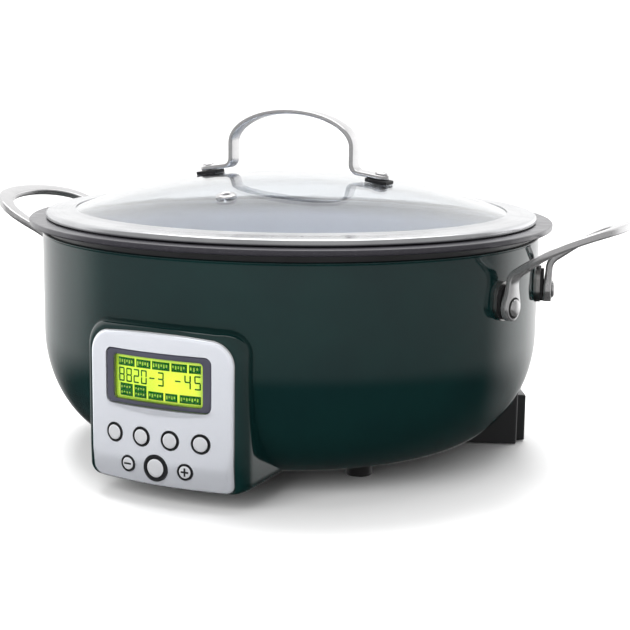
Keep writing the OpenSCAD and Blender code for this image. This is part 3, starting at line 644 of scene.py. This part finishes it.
def make_rivets():
    """The domed caps on the side handles' pads, each with a thin dark ring round it: painted shade for the
    gap under the cap.
    """
    face = 171.1
    cap = [(-9, 2), (0, 2), (0, 5.1), (0.5, 5.25), (1.0, 5.1), (1.5, 4.5), (1.85, 3.6), (2.05, 2.4),
           (2.15, 1.0), (2.17, 0.2)]
    verts, faces = at_fixings(lambda: button_head(face, cap))
    piece("handle_caps", verts, faces, "base", "polished_steel", ["handle_rivets"])
    # painted shade: a black ring where the gap round each cap lies in shadow
    shade_ring = [(-0.2, 4.6), (0.12, 4.7), (0.2, 5.3), (0.2, 6.1), (0.05, 6.4), (-0.2, 6.4)]
    verts, faces = at_fixings(lambda: button_head(face, shade_ring))
    piece("handle_cap_shade_rings", verts, faces, "base", "black_rubber")


# ---------------------------------------------------------------- control housing and panel

# The panel's half width, bottom, top, thickness and corner radii, and how far its top edge bows up
PANEL_W, PANEL_Z, PANEL_TOP, PANEL_T = 46.7, 12.0, 101.5, 2.45
TOP_CORNER, BOTTOM_CORNER, CROWN = 14.0, 6.0, 1.6
# The housing's half width, top and wall; how far its front edge lies behind the panel's face; its two depths
HOUSING_W, HOUSING_TOP, HOUSING_WALL = 52.8, 107.4, 2.0
HOUSING_FRONT, FLARE_DEPTH, STRAIGHT_DEPTH = 2.2, 17.0, 60.0

def outline(w, z0, z1, rt, rb, crown, n=10):
    """A rounded outline in (x, z), with a top edge that bows up by crown."""
    top = [(-i / 12 * (w - rt), z1 - crown * (i / 12) ** 2) for i in range(-11, 12)]
    pts = arc((w - rt, z1 - crown - rt), rt, 0, 90, n)[:-1] + [(w - rt, z1 - crown)] + top + \
        arc((-w + rt, z1 - crown - rt), rt, 90, 180, n)
    side = [(-w, z0 + rb + (z1 - crown - rt - z0 - rb) * k / 6) for k in range(5, 0, -1)]
    bottom = [(-(w - rb) * k / 6, z0) for k in range(5, -6, -1)]
    return (pts + side + arc((-w + rb, z0 + rb), rb, 180, 270, n) + bottom
            + arc((w - rb, z0 + rb), rb, 270, 360, n) + [(-x, z) for x, z in reversed(side)])


def panel_outline(half_w, top, inset=0.0):
    """The outline shared by the panel, its bead and the housing, drawn in by inset."""
    return outline(half_w - inset, PANEL_Z + inset, top - inset, TOP_CORNER - inset, BOTTOM_CORNER - inset,
                   CROWN)


def inside_shell(x, y, z):
    """Moves a point forward where it would pass through the bowl's wall: it stops halfway into it."""
    r = BODY_R
    if z < BOWL_TOP:
        drop = min(1.0, (BOWL_TOP - z) / (BOWL_TOP - BASE_Z))
        r = BASE_R + (BODY_R - BASE_R) * math.sqrt(1 - drop * drop)
    return x, min(y, -math.sqrt(r * r - x * x) + SHELL_T / 2), z


def housing_ring(t, inset):
    """Outline of the housing from its front edge, t = 0, to the end of its flare, t = 1."""
    swell = math.sin(t * math.pi / 2) ** 0.9
    front_w, front_top = PANEL_W + 0.2, PANEL_TOP + 0.2
    w, top = front_w + (HOUSING_W - front_w) * swell, front_top + (HOUSING_TOP - front_top) * swell
    depth = HOUSING_FRONT + FLARE_DEPTH * (1 - math.cos(t * math.pi / 2)) ** 0.9
    points = []
    for x, z in panel_outline(w, top, inset):
        chin = max(0, fascia_depth(x, z)) * (1 - t) ** 2
        points.append(inside_shell(x, face_y(x) * (1 - t) - FACE_Y * t + depth + chin, z))
    return points


def make_housing():
    """The housing's wall, open behind the panel, and ending in the wall of the bowl."""
    outer = [housing_ring(k / 10, 0) for k in range(11)]
    inner = [housing_ring(k / 10, HOUSING_WALL) for k in range(11)]
    for k in range(1, 9):
        y = -FACE_Y + HOUSING_FRONT + FLARE_DEPTH + STRAIGHT_DEPTH * k / 8
        for rings, inset in ((outer, 0), (inner, HOUSING_WALL)):
            rings.append([inside_shell(x, y, z) for x, z in panel_outline(HOUSING_W, HOUSING_TOP, inset)])
    verts, faces = loft(outer + list(reversed(inner)), closed=True)
    shell = piece("housing_skin", verts, faces, "base", "green_enamel", ["control_housing"])
    shell.data.set_sharp_from_angle(angle=math.radians(50))


def fascia_depth(x, z):
    """How far the panel's front lies behind its plain curved face.

    The chin falls back below, and a visor stands forward above a line that sags in the middle.
    """
    chin_fall, chin_top, visor_rise = 3.0, 28.0, 0.9
    line_z, line_sag, line_half_w = 58.2, 3.2, 36.0
    chin = chin_fall * max(0.0, (chin_top - z) / (chin_top - PANEL_Z)) ** 2
    line = line_z - line_sag * (1 - (min(abs(x), line_half_w) / line_half_w) ** 2)
    visor = visor_rise * smooth01((z - line) / 2.4)
    return chin - visor * (1 - smooth01((abs(x) - 29) / 7)) * (1 - smooth01((z - 60) / 3))


def circle(x, z, r, steps=56):
    return [(x + r * math.cos(2 * math.pi * k / steps), z + r * math.sin(2 * math.pi * k / steps))
            for k in range(steps)]


# Each button's centre (x, z), the radius of its opening, and the radius that its cap stays CAP_GAP within
PITCH = 18.95
CAP_RISE, CAP_GAP = 0.66, 0.3
BUTTONS = {f"button_menu_{i + 1}": ((i - 1.5) * PITCH, 40.9, 5.85, 4.75) for i in range(4)}
BUTTONS.update(button_minus=(-18.9, 23.7, 4.9, 4.0), button_start=(0.0, 23.7, 7.9, 5.75),
               button_plus=(18.9, 23.7, 4.9, 4.0))


def in_ring(x, z, ring):
    """True when (x, z) lies inside a closed ring."""
    inside = False
    for (ax, az), (bx, bz) in zip(ring, ring[1:] + ring[:1]):
        if (az > z) != (bz > z) and x < ax + (z - az) * (bx - ax) / (bz - az):
            inside = not inside
    return inside


def make_fascia():
    """The silver panel: a curved sheet with a rolled edge and openings for the display and buttons."""
    roll, pitch, clear = 1.9, 1.3, 0.6

    def front(x, z, back=0.0):
        return x, face_y(x) + fascia_depth(x, z) + back, z

    def rear(x, z):
        return x, face_y(x) + PANEL_T + max(0, fascia_depth(x, z)), z

    insets = (0, 0.08, 0.25, 0.5, 0.85, 1.3, 1.9, 2.8)
    rolled = [panel_outline(PANEL_W, PANEL_TOP, d) for d in insets]
    backs = [roll - math.sqrt(max(0.0, roll ** 2 - max(0.0, roll - d) ** 2)) for d in insets]
    holes = [outline(34.75, 58.15, 90.55, 4.3, 4.3, 0)]
    holes += [circle(x, z, r + 0.05) for x, z, r, _ in BUTTONS.values()]
    loops = [rolled[-1]] + holes
    points = [Vector(p) for loop in loops for p in loop]
    edges, start = [], 0
    for loop in loops:
        edges += [(start + i, start + (i + 1) % len(loop)) for i in range(len(loop))]
        start += len(loop)
    for i in range(int(2 * PANEL_W / pitch)):
        for k in range(int((PANEL_TOP - PANEL_Z) / pitch)):
            x, z = -PANEL_W + pitch * (i + 0.5), PANEL_Z + pitch * (k + 0.5)
            if (in_ring(x, z, loops[0]) and not any(in_ring(x, z, hole) for hole in holes)
                    and min(math.hypot(x - p.x, z - p.y) for p in points[:start]) > clear):
                points.append(Vector((x, z)))
    flat, _, tris, *_ = delaunay_2d_cdt(points, edges, [], 1, 1e-6)
    sheet = []
    for tri in tris:
        cx, cz = (sum(flat[v][axis] for v in tri) / len(tri) for axis in (0, 1))
        if in_ring(cx, cz, loops[0]) and not any(in_ring(cx, cz, hole) for hole in holes):
            sheet.append(tuple(tri))
    n = len(flat)
    parts = [([front(x, z) for x, z in flat] + [rear(x, z) for x, z in flat],
              sheet + [tuple(v + n for v in reversed(tri)) for tri in sheet])]
    for hole in holes:
        parts.append(band([[front(x, z) for x, z in hole], [rear(x, z) for x, z in hole]]))
    edge = [[front(x, z, b) for x, z in ring] for ring, b in zip(rolled, backs)]
    behind = [[rear(x, z) for x, z in ring] for ring in (rolled[0], rolled[-1])]
    parts.append(band(list(reversed(edge)) + behind))
    verts, faces = join(parts)
    panel = piece("fascia_skin", verts, faces, "base", "silver_plastic", ["fascia"])
    panel.data.set_sharp_from_angle(angle=math.radians(40))


def make_buttons():
    """Button caps: flat discs that follow the panel, with rounded rims."""
    for name, (x0, z0, _, cap_r) in BUTTONS.items():
        r0 = cap_r - CAP_GAP
        levels = ((r0, 3.4), (r0, -0.25), (r0 - 0.07, -0.45), (r0 - 0.22, -0.6), (r0 - 0.5, -CAP_RISE),
                  (r0 * 0.6, -CAP_RISE), (r0 * 0.3, -CAP_RISE), (0.1, -CAP_RISE))
        rings = [[(x, face_y(x) + fascia_depth(x0, z0) + depth, z) for x, z in circle(x0, z0, r)]
                 for r, depth in levels]
        verts, faces = loft(rings)
        piece("cap_" + name, verts, faces, name, "button_silver", [name])


def tile(x0, x1, z0, z1, depth, t=0.06, steps=4):
    """A thin plate that follows the panel's curve."""
    rings = []
    for k in range(steps + 1):
        x = x0 + (x1 - x0) * k / steps
        y = face_y(x) + depth
        rings.append([(x, y - t, z0), (x, y - t, z1), (x, y, z1), (x, y, z0)])
    return loft(rings)


# Which of its seven segments a digit lights, in this order: top, upper right, lower right, bottom,
# lower left, upper left, middle
DIGITS = {"0": "1111110", "1": "0110000", "2": "1101101", "3": "1111001", "4": "0110011", "5": "1011011",
          "8": "1111111", "-": "0000001"}


def digit(code, x, z, w, h, t, depth):
    """One seven-segment figure with its lower left corner at (x, z)."""
    on = DIGITS[code]
    m = z + h / 2
    g = t * 0.35
    spans = [(x + g, x + w - g, z + h - t, z + h), (x + w - t, x + w, m + g, z + h - g),
             (x + w - t, x + w, z + g, m - g), (x + g, x + w - g, z, z + t), (x, x + t, z + g, m - g),
             (x, x + t, m + g, z + h - g), (x + g, x + w - g, m - t / 2, m + t / 2)]
    return [tile(a, b, c, d, depth, steps=1) for bit, (a, b, c, d) in zip(on, spans) if bit == "1"]


def make_display():
    """Lime screen with generic blocks and figures behind the window."""
    depth = 3.3
    x0, z0 = -LCD_W / 2, LCD_ZC - LCD_H / 2
    screen = outline(LCD_W / 2, z0, z0 + LCD_H, 2.6, 2.6, 0, 6)
    rings = []
    for k in range(24):
        f = 1 - k / 24
        rings.append([(x * f, face_y(x * f) + depth, LCD_ZC + (z - LCD_ZC) * f) for x, z in screen])
    rear = [(x, face_y(x) + depth + 0.12, z) for x, z in screen]
    verts, faces = loft([rear] + rings)
    piece("lcd_screen", verts, faces, "base", "lcd_lime")

    def block(u0, u1, v0, v1):
        return tile(x0 + u0 * LCD_W, x0 + u1 * LCD_W, z0 + v0 * LCD_H, z0 + v1 * LCD_H, depth - 0.08)

    top = [(0.03, 0.23), (0.25, 0.42), (0.437, 0.635), (0.655, 0.825), (0.845, 0.97)]
    tall = [(0.05, 0.205), (0.225, 0.37)]
    low = [(0.39, 0.565), (0.585, 0.72), (0.745, 0.97)]
    tabs = [block(a, b, 0.745, 0.935) for a, b in top]
    tabs += [block(a, b, 0.05, 0.34) for a, b in tall] + [block(a, b, 0.05, 0.235) for a, b in low]
    verts, faces = join(tabs)
    piece("lcd_tabs", verts, faces, "base", "lcd_dark")

    ticks = []
    for spans, v0, v1 in ((top, 0.79, 0.885), (tall, 0.10, 0.15), (tall, 0.225, 0.275), (low, 0.10, 0.18)):
        for a, b in spans:
            count = max(2, int((b - a) / 0.032))
            for i in range(count):
                u = a + 0.012 + (b - a - 0.024) * i / count
                rise = (0.0, 0.3, 0.12, 0.42)[(i * 3 + int(a * 97)) % 4] * (v1 - v0)
                ticks.append(tile(x0 + u * LCD_W, x0 + (u + 0.015) * LCD_W, z0 + (v0 + rise) * LCD_H,
                                  z0 + v1 * LCD_H, depth - 0.16, steps=1))
    verts, faces = join(ticks)
    piece("lcd_ticks", verts, faces, "base", "lcd_pale")

    figures = []
    figure_w, figure_h, stroke = 4.0, 8.2, 0.85
    for code, u in zip("8820-3-45", (0.035, 0.125, 0.215, 0.305, 0.40, 0.50, 0.69, 0.795, 0.90)):
        figures += digit(code, x0 + u * LCD_W, z0 + 0.375 * LCD_H, figure_w, figure_h, stroke,
                         depth - 0.08)
    verts, faces = join(figures)
    piece("lcd_figures", verts, faces, "base", "lcd_dark")


def make_frame():
    """Dark frame round the display, with rounded outer and inner edges."""
    rings = []
    for inset, depth in ((0, 3.45), (0, 1.4), (0.12, 1.0), (0.4, 0.68), (0.9, 0.5)):
        rings.append((outline(34.4 - inset, 58.6 + inset, 90.1 - inset, 3.9 - inset, 3.9 - inset, 0), depth))
    for grow, depth in ((0.5, 0.5), (0.15, 0.6), (0, 0.85), (0, 3.45)):
        rings.append((outline(29.3 + grow, 61 - grow, 87 + grow, 2.5 + grow, 2.5 + grow, 0), depth))
    verts, faces = loft([[(x, face_y(x) + depth, z) for x, z in ring] for ring, depth in rings], closed=True)
    piece("frame_skin", verts, faces, "base", "frame_grey", ["display_frame"])


def make_window():
    """Clear pane in the frame, following the panel's curve."""
    ring = outline(29.1, 61.2, 86.8, 2.4, 2.4, 0, 5)
    levels = [[(x * f, LCD_ZC + (z - LCD_ZC) * f) for x, z in ring] for f in [1 - k / 16 for k in range(16)]]
    front = [[(x, face_y(x) + 1.6, z) for x, z in level] for level in levels]
    back = [[(x, face_y(x) + 2.4, z) for x, z in level] for level in levels]
    verts, faces = loft(list(reversed(back)) + front)
    pane = piece("window_pane", verts, faces, "base", "window_clear", ["display_window"])
    pane.data.set_sharp_from_angle(angle=math.radians(40))


def make_marks():
    """A minus and a plus on the two small buttons, as thin raised inlays."""
    corners = ((-1, -1), (1, -1), (1, 1), (-1, 1))
    for name, bars in (("button_minus", [(2.3, 0.5)]), ("button_plus", [(2.4, 0.52), (0.52, 2.4)])):
        x, z = BUTTONS[name][:2]
        y = face_y(x) - CAP_RISE
        levels = ((y + 0.15, 0), (y - 0.03, 0), (y - 0.08, 0.08))
        parts = [loft([[(x + sx * (w - c), level, z + sz * (h - c)) for sx, sz in corners]
                       for level, c in levels]) for w, h in bars]
        verts, faces = join(parts)
        mark = piece(name + "_mark", verts, faces, name, "black_plastic")
        for f in mark.data.polygons:
            f.use_smooth = False


def make_trim():
    """A bright bead round the back of the panel's edge."""
    ring = panel_outline(PANEL_W, PANEL_TOP)
    bead_r, inset, behind, steps = 0.5, 0.12, 1.95, 10
    turns = [2 * math.pi * k / steps for k in range(steps)]
    rings = []
    for i, (x, z) in enumerate(ring):
        (ax, az), (bx, bz) = ring[i - 1], ring[(i + 1) % len(ring)]
        length = math.hypot(bx - ax, bz - az) or 1
        nx, nz = (bz - az) / length, -(bx - ax) / length
        y = face_y(x) + behind + max(0, fascia_depth(x, z))
        rings.append([(x + nx * (bead_r * math.cos(a) - inset), y + bead_r * math.sin(a),
                       z + nz * (bead_r * math.cos(a) - inset)) for a in turns])
    verts, faces = loft(rings, closed=True)
    piece("fascia_bead", verts, faces, "base", "bead_chrome")


def make_spring():
    """The coil spring under the temperature probe."""
    low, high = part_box("probe_spring")
    wire, coil_r, turns, steps = 0.6, 6.0, 4, 32
    z0, z1 = low.z / MM + wire, high.z / MM - wire
    rings = []
    for i in range(turns * steps + 1):
        a, z = 2 * math.pi * i / steps, z0 + (z1 - z0) * i / (turns * steps)
        section = [(coil_r + wire * math.cos(b), wire * math.sin(b))
                   for b in (2 * math.pi * k / 10 for k in range(10))]
        rings.append([(r * math.cos(a), r * math.sin(a), z + rise) for r, rise in section])
    verts, faces = loft(rings)
    spring = piece("coil_spring", verts, faces, "base", "brushed_steel", ["probe_spring"])
    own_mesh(spring)


def finish_nodes():
    """Materials for the CAD nodes that stay, and small rounded edges on those that show."""
    special = {n: "button_silver" for n in BUTTONS}
    for name, obj in NODES.items():
        material = MATS[special.get(name, SLOT_OF[name])]
        for slot in obj.material_slots:
            slot.material = material
    group = smooth_group()
    for name, width in {"rear_stand": 1.2, "rear_band": 0.8, "front_feet": 0.8,
                        "rear_pads": 0.2, "power_inlet": 0.6, "handle_plates": 0.5, "handle_gaskets": 0.4,
                        "lid_gaskets": 0.6, "lid_rivets": 0.25, "vent_eyelet": 0.2, "bottom_cover": 0.4,
                        "button_collars": 0.12, "rim_ring": 0.4}.items():
        bevel(name, width, group)


# ---------------------------------------------------------------- studio

OPEN_SIDE = (0.515, -0.857, 0)    # the dim, open side of the light tent
SIDE_PANEL = (0.384, 0.923, 0)    # the middle of its brightest wall


def make_world(scene):
    """Soft light fixed in the world: darker low down and on the open side, brightest at the side panel."""
    world = bpy.data.worlds.new("studio")
    scene.world = world
    world.use_nodes = True
    tree = world.node_tree
    tree.nodes.clear()
    link = tree.links.new

    def node(kind, **settings):
        n = tree.nodes.new("ShaderNode" + kind)
        for key, value in settings.items():
            setattr(n, key, value)
        return n

    direction = node("TexCoord").outputs["Generated"]

    def towards(axis):
        n = node("VectorMath", operation="DOT_PRODUCT")
        n.inputs[1].default_value = axis
        link(direction, n.inputs[0])
        return n.outputs["Value"]

    def ramp(source, low, high, out_low, out_high):
        n = node("MapRange", interpolation_type="SMOOTHSTEP")
        for key, value in (("From Min", low), ("From Max", high), ("To Min", out_low), ("To Max", out_high)):
            n.inputs[key].default_value = value
        link(source, n.inputs["Value"])
        return n.outputs[0]

    def combine(operation, a, b):
        n = node("Math", operation=operation)
        link(a, n.inputs[0])
        link(b, n.inputs[1])
        return n.outputs[0]

    split = node("SeparateXYZ")
    link(direction, split.inputs[0])
    height = ramp(split.outputs[2], -0.42, -0.12, 0.04, 1.0)
    dim = ramp(towards(OPEN_SIDE), -0.48, -0.05, 1.2, 0.48)
    lobe = ramp(towards(SIDE_PANEL), 0.80, 1.0, 0.0, 0.5)
    back = node("Background")
    back.inputs["Color"].default_value = (1, 1, 1, 1)
    link(combine("ADD", combine("MULTIPLY", height, dim), lobe), back.inputs["Strength"])
    link(back.outputs[0], node("OutputWorld").inputs[0])


def make_studio():
    """The world, two soft boxes, a soft sun and a plain floor that reflections don't show."""
    scene = bpy.context.scene
    make_world(scene)

    def area(name, size, power, place, aim, glossy=True):
        data = bpy.data.lights.new(name, "AREA")
        data.energy = power
        data.shape = "RECTANGLE"
        data.size = data.size_y = size
        obj = bpy.data.objects.new(name, data)
        obj.location = place
        obj.rotation_euler = (Vector(aim) - Vector(place)).to_track_quat("-Z", "Y").to_euler()
        obj.visible_glossy = glossy
        scene.collection.objects.link(obj)

    area("top_box", 1.4, 12, (-0.1, 0.25, 1.4), (0, 0, 0))
    area("front_fill", 1.2, 23, (-0.1, -1.5, 0.85), (0, 0, 0.08), glossy=False)
    sun = bpy.data.lights.new("sun", "SUN")
    sun.energy, sun.angle = 2.8, math.radians(32)
    lamp = bpy.data.objects.new("sun", sun)
    lamp.rotation_euler = Vector((0.25, -0.3, -1)).to_track_quat("-Z", "Y").to_euler()
    lamp.visible_glossy = False
    scene.collection.objects.link(lamp)

    floor = bpy.data.meshes.new("floor")
    reach = 60.0
    floor.from_pydata([(-reach, -reach, 0), (reach, -reach, 0), (reach, reach, 0), (-reach, reach, 0)], [],
                      [(0, 1, 2, 3)])
    paper = Shader("paper", (0.96, 0.96, 0.96), 0.9)
    paper.color(paper.mix(paper.noise(3, 2), (0.95, 0.95, 0.95), (0.97, 0.97, 0.97)))
    floor.materials.append(paper.mat)
    ground = bpy.data.objects.new("floor", floor)
    ground.visible_glossy = False
    scene.collection.objects.link(ground)
    scene.view_settings.view_transform = "Standard"


CAM_AZ, CAM_EL, CAM_ROLL = math.radians(25.4196), math.radians(10.5402), math.radians(0.79165)


def make_camera():
    """The camera at the photograph's viewing angle."""
    data = bpy.data.cameras.new("camera")
    data.lens, data.sensor_width = 79.283, 36.0
    data.clip_start, data.clip_end = 0.05, 200
    cam = bpy.data.objects.new("camera", data)
    flat = math.cos(CAM_EL)
    back = Vector((math.sin(CAM_AZ) * flat, -math.cos(CAM_AZ) * flat, math.sin(CAM_EL)))
    right = (-back).cross(Vector((0, 0, 1))).normalized()
    up = right.cross(-back)
    r = right * math.cos(CAM_ROLL) + up * math.sin(CAM_ROLL)
    u = up * math.cos(CAM_ROLL) - right * math.sin(CAM_ROLL)
    cam.matrix_world = Matrix(((r.x, u.x, back.x, 0.406305), (r.y, u.y, back.y, -0.817416),
                               (r.z, u.z, back.z, 0.254502), (0, 0, 0, 1)))
    bpy.context.scene.collection.objects.link(cam)
    bpy.context.scene.camera = cam


make_camera()
make_studio()
make_body()
make_pot()
make_lid()
make_lid_handle()
make_side_handles()
make_rivets()
make_housing()
make_fascia()
make_buttons()
make_frame()
make_display()
make_window()
make_marks()
make_trim()
make_spring()
finish_nodes()

bpy.context.view_layer.update()
